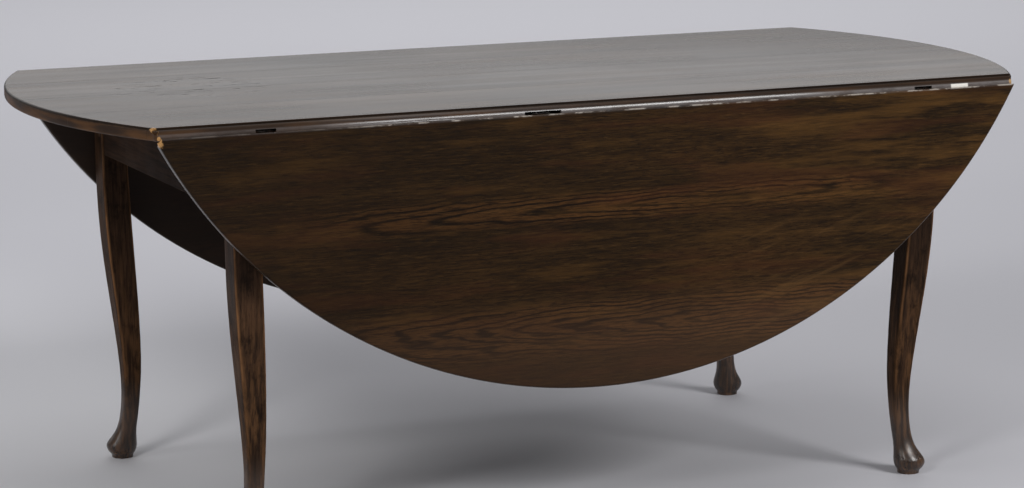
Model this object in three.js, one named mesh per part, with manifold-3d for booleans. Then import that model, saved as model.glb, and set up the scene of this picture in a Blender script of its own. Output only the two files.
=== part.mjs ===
// A drop-leaf table on four cabriole legs. Two legs are fixed to the frame. The other two stand on gates
// that turn on wooden knuckles, and swing out under the leaves when the leaves are raised.
// Millimetres. X runs along the leaf joints, Z is up, and the floor is at zero.
// Everything but the middle board is built once, for the back, and turned half round for the front.
import * as THREE from "three";
import { mergeVertices } from "three/addons/utils/BufferGeometryUtils.js";
import Module from "manifold-3d";

const wasm = await Module();
wasm.setup();

// The oval top
const HEIGHT = 737;
const OPEN_LENGTH = 1830;
const OPEN_WIDTH = 1792;
const BOARD = 22;
const EDGE_ROUND = 5;
const OVAL_STEPS = 72;
const UNDERSIDE = HEIGHT - BOARD;

// The rule joint: a fillet, then an ovolo centred on the hinge pin, with a matching cove in the leaf
const JOINT_Y = 411;
const FILLET = 3;
const OVOLO_R = 13.5;
const JOINT_GAP = 0.4;
const PIN_Z = HEIGHT - FILLET - OVOLO_R;
const CORE = PIN_Z - UNDERSIDE;

// The leaf hinges, three to a leaf, let into the undersides
const HINGE_X = [623, 124, -622];
const HINGE_WIDTH = 32;
const HINGE_SLOT = [36, 68, 36];
const HINGE_PLATE = 2;
const HINGE_TOP_REACH = 36;
const HINGE_LEAF_REACH = 64;
const HINGE_BARREL_R = 4.6;
const HINGE_PIN_R = 2.2;
const HINGE_BORE_R = 2.35;

// The frame
const END_FACE = 672;
const SIDE_FACE = 392;
const POST = 49;
const RAIL_DEPTH = 135;
const END_RAIL = 24;
const END_SETBACK = 4;
const SIDE_RAIL = 22;
const SLACK = 0.3;
const RAIL_BOTTOM = UNDERSIDE - RAIL_DEPTH;
const LEG_INNER_X = END_FACE - POST;
const LEG_INNER_Y = SIDE_FACE - POST;
const END_RAIL_INNER = END_FACE - END_RAIL;

// The gates and their wooden knuckles
const KNUCKLE_X = -200;
const KNUCKLE_Y = 380;
const KNUCKLE_R = 11.7;
const KNUCKLE_FINGERS = 5;
const KNUCKLE_PIN_R = 4;
const KNUCKLE_BORE_R = 4.2;
const GATE_TOP = UNDERSIDE - 1;
const SIDE_RAIL_FACE = KNUCKLE_Y - KNUCKLE_R - SLACK;
const STRIP = SIDE_FACE - KNUCKLE_Y;

// Mortises, tenons and their pegs
const TENON = 10;
const TENON_BOTTOM = RAIL_BOTTOM + 18;
const TENON_TOP = UNDERSIDE - 22;
const PEG_R = 4;
const PEG_PROUD = 0.6;
const PEG_Z = [RAIL_BOTTOM + 36, UNDERSIDE - 40];

// The leg from the knee down: height, how far the middle of the section stands in from the outer
// corner of the post along both X and Y, half its width, and how round its corners are
const LEG_SECTIONS = [
  [559, 24.5, 24.5, 0.05],
  [462, 27.7, 25.0, 0.1],
  [371, 33.0, 24.0, 0.14],
  [281, 39.6, 21.4, 0.2],
  [190, 45.0, 18.0, 0.3],
  [128, 44.9, 15.4, 0.4],
  [82, 41.5, 15.3, 0.5],
  [50, 36.2, 19.2, 0.8],
  [27, 29.8, 28.4, 0.99],
  [14, 29.5, 26.5, 0.99],
  [6, 30.3, 20.5, 0.99],
  [0, 30.5, 20.0, 0.99],
];
const LEG_LEVELS = 19;
const CORNER_POINTS = 4;

const finish = (name, color, roughness, metalness = 0) =>
  new THREE.MeshStandardMaterial({ name, color, roughness, metalness });
const topOak = finish("top_oak", 0x5b4632, 0.32);
const leafOak = finish("leaf_oak", 0x4f3a26, 0.42);
const railOak = finish("rail_oak", 0x33241a, 0.6);
const legOak = finish("leg_oak", 0x4a3220, 0.4);
const pegOak = finish("peg_oak", 0x5d4029, 0.55);
const blockPine = finish("block_pine", 0x6e5233, 0.8);
const hingeIron = finish("hinge_iron", 0x37322e, 0.6, 0.85);
const pinIron = finish("pin_iron", 0x4a443f, 0.5, 0.9);

// three.js geometry as a manifold solid, for booleans
function solid(geometry) {
  const bare = geometry.clone();
  bare.deleteAttribute("normal");
  bare.deleteAttribute("uv");
  const welded = mergeVertices(bare, 1e-4);
  return new wasm.Manifold(
    new wasm.Mesh({
      numProp: 3,
      vertProperties: new Float32Array(welded.attributes.position.array),
      triVerts: new Uint32Array(welded.index.array),
    }),
  );
}

// A manifold solid as flat-shaded three.js geometry
function geometryOf(body) {
  const mesh = body.getMesh();
  const geometry = new THREE.BufferGeometry();
  geometry.setAttribute("position", new THREE.BufferAttribute(mesh.vertProperties, 3));
  geometry.setIndex(new THREE.BufferAttribute(mesh.triVerts, 1));
  const flat = geometry.toNonIndexed();
  flat.computeVertexNormals();
  return flat;
}

const piece = (name, material, body) => {
  const mesh = new THREE.Mesh(geometryOf(body), material);
  mesh.name = name;
  return mesh;
};

// A box between two corners
function box(lo, hi) {
  const size = hi.map((top, i) => top - lo[i]);
  const geometry = new THREE.BoxGeometry(...size);
  geometry.translate(...lo.map((bottom, i) => bottom + size[i] / 2));
  return solid(geometry);
}

// A round bar from one point along X, Y or Z
function bar(radius, from, axis, length, steps = 16) {
  const geometry = new THREE.CylinderGeometry(radius, radius, length, steps);
  geometry.translate(0, length / 2, 0);
  if (axis === "x") geometry.rotateZ(-Math.PI / 2);
  if (axis === "z") geometry.rotateX(Math.PI / 2);
  geometry.translate(...from);
  return solid(geometry);
}

// A Y-Z section run along X
function alongX(shape, from, length, curveSegments = 8) {
  const geometry = new THREE.ExtrudeGeometry(shape, { depth: length, bevelEnabled: false, curveSegments });
  const turn = new THREE.Matrix4().makeBasis(
    new THREE.Vector3(0, 1, 0),
    new THREE.Vector3(0, 0, 1),
    new THREE.Vector3(1, 0, 0),
  );
  geometry.applyMatrix4(turn);
  geometry.translate(from, 0, 0);
  return solid(geometry);
}

const less = (body, ...cutters) => cutters.reduce((left, cutter) => left.subtract(cutter), body);
const joined = (first, ...others) => others.reduce((sum, other) => sum.add(other), first);

// The whole oval, open, with both edges of its rim rounded
function ovalTop() {
  const outline = new THREE.Shape();
  outline.absellipse(0, 0, OPEN_LENGTH / 2, OPEN_WIDTH / 2, 0, 2 * Math.PI, false);
  const geometry = new THREE.ExtrudeGeometry(outline, {
    depth: BOARD - 2 * EDGE_ROUND,
    curveSegments: OVAL_STEPS,
    bevelThickness: EDGE_ROUND,
    bevelSize: EDGE_ROUND,
    bevelOffset: -EDGE_ROUND,
    bevelSegments: 2,
  });
  geometry.translate(0, 0, UNDERSIDE + EDGE_ROUND);
  return solid(geometry);
}

// Room in the middle board for the hinges of one leaf, on the back when side is 1 and the front when -1
function hingeRoom(side) {
  const rooms = HINGE_X.flatMap((hingeX, i) => {
    const slot = HINGE_SLOT[i] / 2;
    const plate = HINGE_WIDTH / 2 + SLACK;
    return [
      box([hingeX - slot, JOINT_Y - CORE - 0.5, UNDERSIDE - 1], [hingeX + slot, JOINT_Y + 20, PIN_Z + 5]),
      box(
        [hingeX - plate, JOINT_Y - HINGE_TOP_REACH - SLACK, UNDERSIDE - 1],
        [hingeX + plate, JOINT_Y, UNDERSIDE + HINGE_PLATE],
      ),
    ];
  });
  return joined(...rooms).rotate([0, 0, side > 0 ? 0 : 180]);
}

function topCenter(oval) {
  // Below the pin the ovolo tucks in again, to stay inside the cove that turns round it
  const tuck = Math.asin(CORE / OVOLO_R);
  const foot = JOINT_Y + OVOLO_R * Math.cos(tuck);
  const section = new THREE.Shape();
  section.moveTo(-foot, UNDERSIDE - 5);
  section.lineTo(foot, UNDERSIDE - 5);
  section.absarc(JOINT_Y, PIN_Z, OVOLO_R, -tuck, Math.PI / 2, false);
  section.lineTo(JOINT_Y, HEIGHT + 5);
  section.lineTo(-JOINT_Y, HEIGHT + 5);
  section.absarc(-JOINT_Y, PIN_Z, OVOLO_R, Math.PI / 2, Math.PI + tuck, false);
  const body = oval.intersect(alongX(section, -OPEN_LENGTH, 2 * OPEN_LENGTH));
  return piece("top_center", topOak, less(body, hingeRoom(1), hingeRoom(-1)));
}

// A leaf lies open here, measured from the hinge pin
function leafBody(oval) {
  const cove = OVOLO_R + JOINT_GAP;
  const section = new THREE.Shape();
  section.moveTo(JOINT_Y + cove, UNDERSIDE - 5);
  section.lineTo(OPEN_WIDTH, UNDERSIDE - 5);
  section.lineTo(OPEN_WIDTH, HEIGHT + 5);
  section.lineTo(JOINT_Y + JOINT_GAP, HEIGHT + 5);
  section.lineTo(JOINT_Y + JOINT_GAP, PIN_Z + cove);
  section.absarc(JOINT_Y, PIN_Z, cove, Math.PI / 2, 0, true);
  const board = oval.intersect(alongX(section, -OPEN_LENGTH, 2 * OPEN_LENGTH));
  const half = HINGE_WIDTH / 2 + SLACK;
  const beds = HINGE_X.map((hingeX) =>
    box(
      [hingeX - half, JOINT_Y, UNDERSIDE - 1],
      [hingeX + half, JOINT_Y + HINGE_LEAF_REACH + SLACK, UNDERSIDE + HINGE_PLATE],
    ),
  );
  return less(board, ...beds).translate([0, -JOINT_Y, -PIN_Z]);
}

// One iron flap hinge measured from its pin: two barrels on the top plate, one between on the leaf plate
function hingeBodies() {
  const outer = HINGE_WIDTH / 2;
  const inner = HINGE_WIDTH / 6;
  const barrel = (from, to) => bar(HINGE_BARREL_R, [from, 0, 0], "x", to - from, 12);
  const bore = bar(HINGE_BORE_R, [-outer - 1, 0, 0], "x", HINGE_WIDTH + 2, 12);
  const clear = CORE + SLACK;
  const clearing = (from, to) => box([from, -clear, -clear], [to, clear, clear]);
  const clearMiddle = clearing(-inner, inner);
  const clearSides = [clearing(-outer - 1, SLACK - inner), clearing(inner - SLACK, outer + 1)];
  const topPlate = box([-outer, -HINGE_TOP_REACH, -CORE], [outer, -1, HINGE_PLATE - CORE]);
  const leafPlate = box([-outer, 1, -CORE], [outer, HINGE_LEAF_REACH, HINGE_PLATE - CORE]);
  return {
    top_plate: less(joined(topPlate, barrel(-outer, outer)), bore, clearMiddle),
    leaf_plate: less(joined(leafPlate, barrel(-outer, outer)), bore, ...clearSides),
    pin: bar(HINGE_PIN_R, [-outer - 0.5, 0, 0], "x", HINGE_WIDTH + 1, 12),
  };
}

// The leg's sections from the knee to the floor, smoothed between the given ones
function legLevels() {
  const knots = (column) => LEG_SECTIONS.map((row) => row[column]);
  const smooth = (values, t) => {
    const at = t * (values.length - 1);
    const i = Math.min(Math.floor(at), values.length - 2);
    const a = values[Math.max(i - 1, 0)];
    const b = values[i];
    const c = values[i + 1];
    const d = values[Math.min(i + 2, values.length - 1)];
    const s = at - i;
    const square = (2 * a - 5 * b + 4 * c - d) * s * s;
    const cube = (3 * b - a - 3 * c + d) * s ** 3;
    return 0.5 * (2 * b + (c - a) * s + square + cube);
  };
  return Array.from({ length: LEG_LEVELS + 1 }, (_, i) =>
    [0, 1, 2, 3].map((column) => smooth(knots(column), i / LEG_LEVELS)),
  );
}

// One whole leg for the corner at +X, +Y: a square post, then rounder sections down to the pad foot
function legBody(topZ) {
  const first = LEG_SECTIONS[0];
  const levels = [[topZ, ...first.slice(1)], ...legLevels()];
  const around = 4 * CORNER_POINTS;
  const points = levels.flatMap(([z, inset, half, roundness]) => {
    const radius = half * roundness;
    return Array.from({ length: around }, (_, i) => {
      const corner = Math.floor(i / CORNER_POINTS);
      const steps = roundness > 0.9 ? CORNER_POINTS : CORNER_POINTS - 1;
      const angle = (Math.PI / 2) * (corner + (i % CORNER_POINTS) / steps);
      const cornerX = (half - radius) * (corner === 0 || corner === 3 ? 1 : -1);
      const cornerY = (half - radius) * (corner < 2 ? 1 : -1);
      return [
        END_FACE - inset + cornerX + radius * Math.cos(angle),
        SIDE_FACE - inset + cornerY + radius * Math.sin(angle),
        z,
      ];
    });
  });
  const faces = [];
  for (let ring = 0; ring + 1 < levels.length; ring += 1) {
    for (let i = 0; i < around; i += 1) {
      const next = (i + 1) % around;
      const a = ring * around + i;
      const b = ring * around + next;
      faces.push(a, a + around, b, b, a + around, b + around);
    }
  }
  const last = (levels.length - 1) * around;
  for (let i = 1; i + 1 < around; i += 1) {
    faces.push(0, i, i + 1);
    faces.push(last, last + i + 1, last + i);
  }
  const geometry = new THREE.BufferGeometry();
  geometry.setAttribute("position", new THREE.Float32BufferAttribute(points.flat(), 3));
  geometry.setIndex(faces);
  return solid(geometry);
}

// A rail that starts at a knuckle pin at the origin and runs along +X. It keeps the fingers whose
// number is even or odd, and is hollowed to clear the other rail's fingers.
function knuckleRail(length, top, parity, backing) {
  const clear = KNUCKLE_R + JOINT_GAP;
  const diagonal = Math.SQRT1_2;
  const body = new THREE.Shape();
  body.moveTo(length, -KNUCKLE_R - backing);
  body.lineTo(clear + 1, -KNUCKLE_R - backing);
  body.lineTo(clear, -KNUCKLE_R);
  body.absarc(0, 0, clear, -Math.PI / 4, Math.PI / 4, false);
  body.lineTo(clear, KNUCKLE_R);
  body.lineTo(length, KNUCKLE_R);
  const finger = new THREE.Shape();
  finger.moveTo(2 * KNUCKLE_R, -KNUCKLE_R);
  finger.lineTo(KNUCKLE_R, -KNUCKLE_R);
  finger.lineTo(KNUCKLE_R * diagonal, -KNUCKLE_R * diagonal);
  finger.absarc(0, 0, KNUCKLE_R, -Math.PI / 4, Math.PI / 4, true);
  finger.lineTo(KNUCKLE_R, KNUCKLE_R);
  finger.lineTo(2 * KNUCKLE_R, KNUCKLE_R);
  const upright = (shape, from, to, curveSegments) => {
    const depth = to - from;
    const geometry = new THREE.ExtrudeGeometry(shape, { depth, bevelEnabled: false, curveSegments });
    geometry.translate(0, 0, from);
    return solid(geometry);
  };
  const pitch = RAIL_DEPTH / KNUCKLE_FINGERS;
  const fingers = [];
  for (let i = parity; i < KNUCKLE_FINGERS; i += 2) {
    const from = RAIL_BOTTOM + i * pitch + (i > 0 ? SLACK / 2 : 0);
    const to = RAIL_BOTTOM + (i + 1) * pitch - SLACK / 2;
    fingers.push(upright(finger, from, Math.min(to, top), 12));
  }
  const bore = bar(KNUCKLE_BORE_R, [0, 0, RAIL_BOTTOM - 1], "z", RAIL_DEPTH + 2, 12);
  return less(joined(upright(body, RAIL_BOTTOM, top, 4), ...fingers), bore);
}

// Everything that belongs to the back of the table
function backHalf(oval, names) {
  const half = new THREE.Group();
  const add = (name, material, body, parent = half) => parent.add(piece(name, material, body));
  const { side } = names;

  // The leaf hangs from its pin, with the moving halves of its hinges
  const leaf = new THREE.Group();
  leaf.position.set(0, JOINT_Y, PIN_Z);
  leaf.rotation.x = -Math.PI / 2;
  half.add(leaf);
  add(`${side}_leaf`, leafOak, leafBody(oval), leaf);
  const hinge = hingeBodies();
  HINGE_X.forEach((hingeX, i) => {
    add(`${side}_hinge_${i + 1}_leaf_plate`, hingeIron, hinge.leaf_plate.translate([hingeX, 0, 0]), leaf);
    for (const part of ["top_plate", "pin"]) {
      const material = part === "pin" ? pinIron : hingeIron;
      add(`${side}_hinge_${i + 1}_${part}`, material, hinge[part].translate([hingeX, JOINT_Y, PIN_Z]));
    }
  });

  // The frame is laid out with its fixed leg at +X, and mirrored, so that seen from its own side of the
  // table the fixed leg is at the right and the swing leg at the left
  const addFrame = (name, material, body) => add(name, material, body.mirror([1, 0, 0]));

  // Tenons, which are part of the rails and are cut out of the legs
  const tenonOf = (lo, hi) => box([...lo, TENON_BOTTOM], [...hi, TENON_TOP]);
  const endTenonX = [END_RAIL_INNER + 7, END_RAIL_INNER + 7 + TENON];
  const endTenon = tenonOf([endTenonX[0], LEG_INNER_Y], [endTenonX[1], LEG_INNER_Y + 30]);
  const gateTenonY = [KNUCKLE_Y - 5, KNUCKLE_Y - 5 + TENON];
  const sideTenonY = [SIDE_RAIL_FACE - 16, SIDE_RAIL_FACE - 16 + TENON];
  const fixedTenon = tenonOf([LEG_INNER_X, gateTenonY[0]], [LEG_INNER_X + 26, gateTenonY[1]]);
  const sideTenon = tenonOf([LEG_INNER_X, sideTenonY[0]], [LEG_INNER_X + 20, sideTenonY[1]]);
  const flyTenon = tenonOf([-LEG_INNER_X - 20, gateTenonY[0]], [-LEG_INNER_X, gateTenonY[1]]);

  // Pegs that lock them, two to a joint
  const pegX = END_FACE + PEG_PROUD;
  const pegY = SIDE_FACE + PEG_PROUD;
  const pegSets = {
    end_peg: PEG_Z.map((z) => bar(PEG_R, [pegX - 22, LEG_INNER_Y + 14, z], "x", 22, 8)),
    rail_peg: PEG_Z.map((z) => bar(PEG_R, [LEG_INNER_X + 13, pegY - 21, z + 9], "y", 21, 8)),
    gate_peg: PEG_Z.map((z) => bar(PEG_R, [-LEG_INNER_X - 11, pegY - 20, z], "y", 20, 8)),
  };
  for (const [set, pegs] of Object.entries(pegSets)) {
    pegs.forEach((peg, i) => addFrame(`${side}_${set}_${i + 1}`, pegOak, peg));
  }

  // The fixed leg
  const fixedLeg = legBody(UNDERSIDE);
  const fixedPegs = [...pegSets.end_peg, ...pegSets.rail_peg];
  addFrame(names.fixedLeg, legOak, less(fixedLeg, endTenon, fixedTenon, sideTenon, ...fixedPegs));

  // The swing leg, rebated to close round the corner of the frame
  const swingLeg = legBody(GATE_TOP).mirror([1, 0, 0]);
  const shoulder = RAIL_BOTTOM - SLACK;
  const rebateStart = [-END_FACE - 1, LEG_INNER_Y - 1, shoulder];
  const rebates = [
    box(rebateStart, [-LEG_INNER_X + 1, SIDE_RAIL_FACE + SLACK, UNDERSIDE]),
    box(rebateStart, [-END_RAIL_INNER + 1.5, SIDE_FACE - STRIP + SLACK, UNDERSIDE]),
  ];
  addFrame(names.swingLeg, legOak, less(swingLeg, ...rebates, flyTenon, ...pegSets.gate_peg));

  // The rails: one across the end, the inner one along the side, and the fixed and swinging ones outside it
  const endRailFace = END_FACE - END_SETBACK;
  const endRail = box([END_RAIL_INNER, -KNUCKLE_Y, RAIL_BOTTOM], [endRailFace, LEG_INNER_Y, UNDERSIDE]);
  addFrame(names.endRail, railOak, less(joined(endRail, endTenon), ...pegSets.end_peg));
  const sideRail = box(
    [-END_RAIL_INNER, SIDE_RAIL_FACE - SIDE_RAIL, RAIL_BOTTOM],
    [LEG_INNER_X, SIDE_RAIL_FACE, UNDERSIDE],
  );
  addFrame(`${side}_side_rail`, railOak, joined(sideRail, sideTenon));
  const fixedRail = knuckleRail(LEG_INNER_X - KNUCKLE_X, UNDERSIDE, 0, SLACK);
  const fixedInPlace = fixedRail.translate([KNUCKLE_X, KNUCKLE_Y, 0]);
  addFrame(`${side}_fixed_rail`, railOak, less(joined(fixedInPlace, fixedTenon), ...pegSets.rail_peg));
  const flyRail = knuckleRail(LEG_INNER_X + KNUCKLE_X, GATE_TOP, 1, 0).rotate([0, 0, 180]);
  const flyInPlace = flyRail.translate([KNUCKLE_X, KNUCKLE_Y, 0]);
  addFrame(`${side}_fly_rail`, railOak, less(joined(flyInPlace, flyTenon), ...pegSets.gate_peg));
  const knucklePin = bar(KNUCKLE_PIN_R, [KNUCKLE_X, KNUCKLE_Y, RAIL_BOTTOM - 2], "z", RAIL_DEPTH, 12);
  addFrame(`${side}_knuckle_pin`, pinIron, knucklePin);

  // Glue blocks in the angle between the inner side rail and the top
  const blockSection = new THREE.Shape();
  blockSection.moveTo(SIDE_RAIL_FACE - SIDE_RAIL, UNDERSIDE);
  blockSection.lineTo(SIDE_RAIL_FACE - SIDE_RAIL - 26, UNDERSIDE);
  blockSection.lineTo(SIDE_RAIL_FACE - SIDE_RAIL, UNDERSIDE - 30);
  [-430, 0, 430].forEach((x, i) => {
    addFrame(`${side}_glue_block_${i + 1}`, blockPine, alongX(blockSection, x - 32, 64));
  });
  return half;
}

const table = new THREE.Group();
table.name = "gateleg_table";
const oval = ovalTop();
table.add(topCenter(oval));
table.add(
  backHalf(oval, {
    side: "back",
    fixedLeg: "back_left_leg",
    swingLeg: "back_right_swing_leg",
    endRail: "left_end_rail",
  }),
);
const front = backHalf(oval, {
  side: "front",
  fixedLeg: "front_right_leg",
  swingLeg: "front_left_swing_leg",
  endRail: "right_end_rail",
});
front.rotation.z = Math.PI;
table.add(front);

export default table;
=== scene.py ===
"""An oak drop-leaf table with two swinging legs, its leaves hanging, in a plain pale studio."""

import math

import bmesh
import bpy
from mathutils import Matrix, Vector


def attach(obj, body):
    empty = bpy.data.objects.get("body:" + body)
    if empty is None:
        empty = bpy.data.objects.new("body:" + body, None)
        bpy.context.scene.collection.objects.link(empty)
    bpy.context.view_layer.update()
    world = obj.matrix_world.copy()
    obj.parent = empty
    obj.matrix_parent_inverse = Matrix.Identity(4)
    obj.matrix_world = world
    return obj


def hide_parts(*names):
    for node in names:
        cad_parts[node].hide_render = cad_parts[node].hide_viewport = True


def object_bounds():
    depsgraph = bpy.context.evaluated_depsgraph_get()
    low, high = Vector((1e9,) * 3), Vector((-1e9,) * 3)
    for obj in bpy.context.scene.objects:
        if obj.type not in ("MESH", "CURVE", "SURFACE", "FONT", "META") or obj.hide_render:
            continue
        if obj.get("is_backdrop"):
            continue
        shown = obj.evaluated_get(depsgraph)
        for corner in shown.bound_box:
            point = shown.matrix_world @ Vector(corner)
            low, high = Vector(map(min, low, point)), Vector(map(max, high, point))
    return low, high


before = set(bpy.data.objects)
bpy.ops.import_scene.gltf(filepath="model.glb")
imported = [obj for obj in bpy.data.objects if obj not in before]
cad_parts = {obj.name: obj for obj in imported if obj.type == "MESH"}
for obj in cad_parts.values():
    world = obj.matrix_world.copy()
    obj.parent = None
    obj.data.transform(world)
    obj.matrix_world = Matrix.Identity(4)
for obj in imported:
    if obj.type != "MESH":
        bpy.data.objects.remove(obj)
cad_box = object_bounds()

# Sizes that the boards share with the frame, in metres
HEIGHT = 0.737
BOARD = 0.022
HALF_LENGTH = 0.915
HALF_WIDTH = 0.896
JOINT_Y = 0.411
FILLET = 0.003
OVOLO_R = 0.0135
JOINT_GAP = 0.0004
COVE_R = 0.0139
UNDERSIDE = HEIGHT - BOARD
PIN_Z = HEIGHT - FILLET - OVOLO_R
HINGE_X = (0.623, 0.124, -0.622)
HINGE_SLOT = (0.036, 0.068, 0.036)
HINGE_WIDTH = 0.032
HINGE_PLATE = 0.002
SLOT_MOUTH = JOINT_Y + 0.020
TOP_REACH = 0.0363
LEAF_REACH = 0.0643
BED_HALF = HINGE_WIDTH / 2 + 0.0003
CORNER_X = HALF_LENGTH * math.sqrt(1 - (JOINT_Y / HALF_WIDTH) ** 2)
RIM_ROUND = 0.005
RIM_POINTS = 256
ROD_POINTS = 96
ROD_LENGTH = 2.2
CUT_CLEAR = 0.001


# ---------------------------------------------------------------- modelling by hand


def only(piece):
    """Selects one piece and nothing else."""
    bpy.ops.object.select_all(action="DESELECT")
    piece.select_set(True)
    bpy.context.view_layer.objects.active = piece


def added(name):
    """Names the piece that has just been added."""
    piece = bpy.context.active_object
    piece.name = name
    piece.data.name = name
    return piece


def open_mesh(piece):
    only(piece)
    bpy.ops.object.mode_set(mode="EDIT")


def open_whole(piece):
    """Opens a piece's mesh with all of it selected."""
    open_mesh(piece)
    bpy.ops.mesh.select_all(action="SELECT")


def close_mesh():
    bpy.ops.object.mode_set(mode="OBJECT")


def pick_faces(piece, wanted):
    """Selects the faces that wanted(face) accepts, in edit mode."""
    bpy.ops.mesh.select_mode(type="FACE")
    bpy.ops.mesh.select_all(action="DESELECT")
    mesh = bmesh.from_edit_mesh(piece.data)
    for face in mesh.faces:
        face.select = wanted(face)
    mesh.select_flush_mode()
    bmesh.update_edit_mesh(piece.data)


def pick_edges(piece, wanted):
    """Selects the edges that wanted(edge) accepts, in edit mode."""
    bpy.ops.mesh.select_mode(type="EDGE")
    bpy.ops.mesh.select_all(action="DESELECT")
    mesh = bmesh.from_edit_mesh(piece.data)
    for edge in mesh.edges:
        edge.select = wanted(edge)
    mesh.select_flush_mode()
    bmesh.update_edit_mesh(piece.data)


def rise(edge):
    """How far an edge climbs from one end to the other."""
    return abs(edge.verts[0].co.z - edge.verts[1].co.z)


def block(name, lo, hi):
    """A rectangular block between two corners."""
    bpy.ops.object.select_all(action="DESELECT")
    lo, hi = Vector(lo), Vector(hi)
    bpy.ops.mesh.primitive_cube_add(size=1, location=(lo + hi) / 2, scale=hi - lo)
    bpy.ops.object.transform_apply(location=True, rotation=True, scale=True)
    return added(name)


def joint_rod(name, radius):
    """A round rod along the back rule joint's line of pins, longer than the table."""
    bpy.ops.object.select_all(action="DESELECT")
    bpy.ops.mesh.primitive_cylinder_add(
        vertices=ROD_POINTS,
        radius=radius,
        depth=ROD_LENGTH,
        location=(0, JOINT_Y, PIN_Z),
        rotation=(0, math.pi / 2, 0),
    )
    bpy.ops.object.transform_apply(location=True, rotation=True, scale=True)
    return added(name)


def cut(piece, cutter):
    """Cuts one piece with another, which is used up."""
    only(piece)
    saw = piece.modifiers.new("saw", "BOOLEAN")
    saw.operation = "DIFFERENCE"
    saw.solver = "EXACT"
    saw.object = cutter
    bpy.ops.object.modifier_apply(modifier=saw.name)
    bpy.data.objects.remove(cutter, do_unlink=True)


def settle(piece, angle=32):
    """Merges stray points, turns the faces outward and smooths all but the real corners."""
    open_whole(piece)
    bpy.ops.mesh.remove_doubles(threshold=0.000005)
    bpy.ops.mesh.normals_make_consistent(inside=False)
    close_mesh()
    bpy.ops.object.shade_smooth_by_angle(angle=math.radians(angle))


def turn_half_round(piece):
    """Half a turn about the table's middle, from the back of the table to the front."""
    open_whole(piece)
    bpy.ops.transform.resize(value=(-1, -1, 1), center_override=(0, 0, 0))
    close_mesh()


def copy_of(piece, name):
    only(piece)
    bpy.ops.object.duplicate(linked=False)
    return added(name)


# ---------------------------------------------------------------- finishes


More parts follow.
